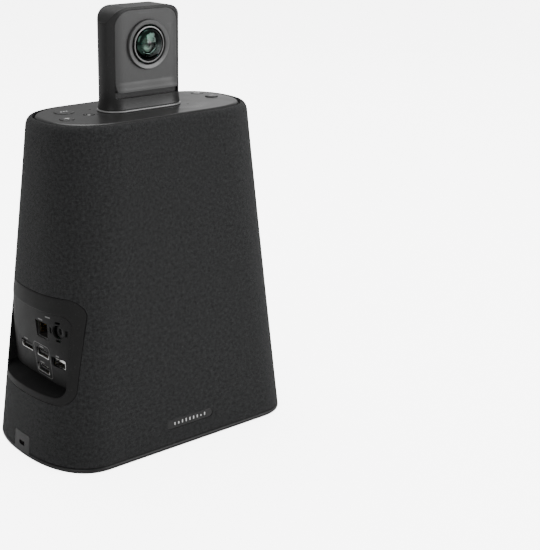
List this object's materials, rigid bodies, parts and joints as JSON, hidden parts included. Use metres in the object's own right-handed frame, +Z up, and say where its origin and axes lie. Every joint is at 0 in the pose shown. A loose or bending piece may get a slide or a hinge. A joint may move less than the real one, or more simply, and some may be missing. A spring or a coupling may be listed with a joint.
{
  "type": "conference camera",
  "caption": "Tabletop conference camera: a tapered fabric-covered speaker cabinet with a port bay in one end, top buttons and a slab-shaped twin-lens head.",
  "frame": {"origin": "on the table, under the middle of the cabinet", "axes": "+Z up, front face and front lens towards -Y, port bay on the -X end"},
  "size_m": [0.2156, 0.1216, 0.3153],
  "materials": {
    "fabric": "matte",
    "housing": "satin",
    "plate": "satin",
    "inner": "matte",
    "rubber": "matte",
    "steel": "satin",
    "aluminium": "satin",
    "board": "satin",
    "glass": "gloss",
    "trim": "satin",
    "cone": "matte"
  },
  "bodies": {
    "housing": {"fabric_sleeve": "fabric", "badge": "housing", "base_tray": "housing", "port_bezel": "housing", "port_panel": "housing", "head_shell": "housing", "face_front": "housing", "face_rear": "housing", "top_plate": "plate", "cabinet_front": "inner", "cabinet_rear": "inner", "ethernet_jack": "inner", "power_socket": "inner", "driver_basket": "inner", "radiator_frame": "inner", "head_ribbon": "inner", "switch_left_large": "inner", "switch_left_front": "inner", "switch_right_rear": "inner", "switch_right_front": "inner", "foot_left": "rubber", "foot_right": "rubber", "driver_surround": "rubber", "radiator_surround": "rubber", "lock_plate": "steel", "base_screw_1": "steel", "base_screw_2": "steel", "base_screw_3": "steel", "base_screw_4": "steel", "hdmi_socket_upper": "steel", "hdmi_socket_lower": "steel", "hdmi_socket_rear": "steel", "usb_socket": "steel", "driver_magnet": "steel", "heat_sink": "aluminium", "head_chassis": "aluminium", "port_board": "board", "main_board": "board", "control_board_left": "board", "control_board_right": "board", "sensor_board_front": "board", "sensor_board_rear": "board", "lens_dome_front": "glass", "lens_dome_rear": "glass", "inner_lens_front": "glass", "inner_lens_rear": "glass", "light_ring": "trim", "indicator_window": "trim", "lens_ring_front": "trim", "lens_ring_rear": "trim", "lens_barrel_front": "trim", "lens_barrel_rear": "trim"},
    "cone": {"driver_cone": "cone"},
    "radiator": {"radiator_plate": "steel"},
    "key_left_large": {"button_left_large": "plate"},
    "key_left_front": {"button_left_front": "plate"},
    "key_right_rear": {"button_right_rear": "plate"},
    "key_right_front": {"button_right_front": "plate"}
  },
  "joints": [
    {"name": "cone_travel", "type": "slide", "parent": "housing", "child": "cone", "axis": [0, -0.9972, 0.0746], "range_m": [-0.002, 0.002], "stiffness_N_per_m": 1500},
    {"name": "radiator_travel", "type": "slide", "parent": "housing", "child": "radiator", "axis": [0, 0.9972, 0.0746], "range_m": [-0.0025, 0.0025], "stiffness_N_per_m": 1200},
    {"name": "press_left_large", "type": "slide", "parent": "housing", "child": "key_left_large", "axis": [0, 0, -1], "range_m": [0, 0.0005], "stiffness_N_per_m": 800, "springref_m": -0.0004},
    {"name": "press_left_front", "type": "slide", "parent": "housing", "child": "key_left_front", "axis": [0, 0, -1], "range_m": [0, 0.0005], "stiffness_N_per_m": 800, "springref_m": -0.0004},
    {"name": "press_right_rear", "type": "slide", "parent": "housing", "child": "key_right_rear", "axis": [0, 0, -1], "range_m": [0, 0.0005], "stiffness_N_per_m": 800, "springref_m": -0.0004},
    {"name": "press_right_front", "type": "slide", "parent": "housing", "child": "key_right_front", "axis": [0, 0, -1], "range_m": [0, 0.0005], "stiffness_N_per_m": 800, "springref_m": -0.0004}
  ]
}
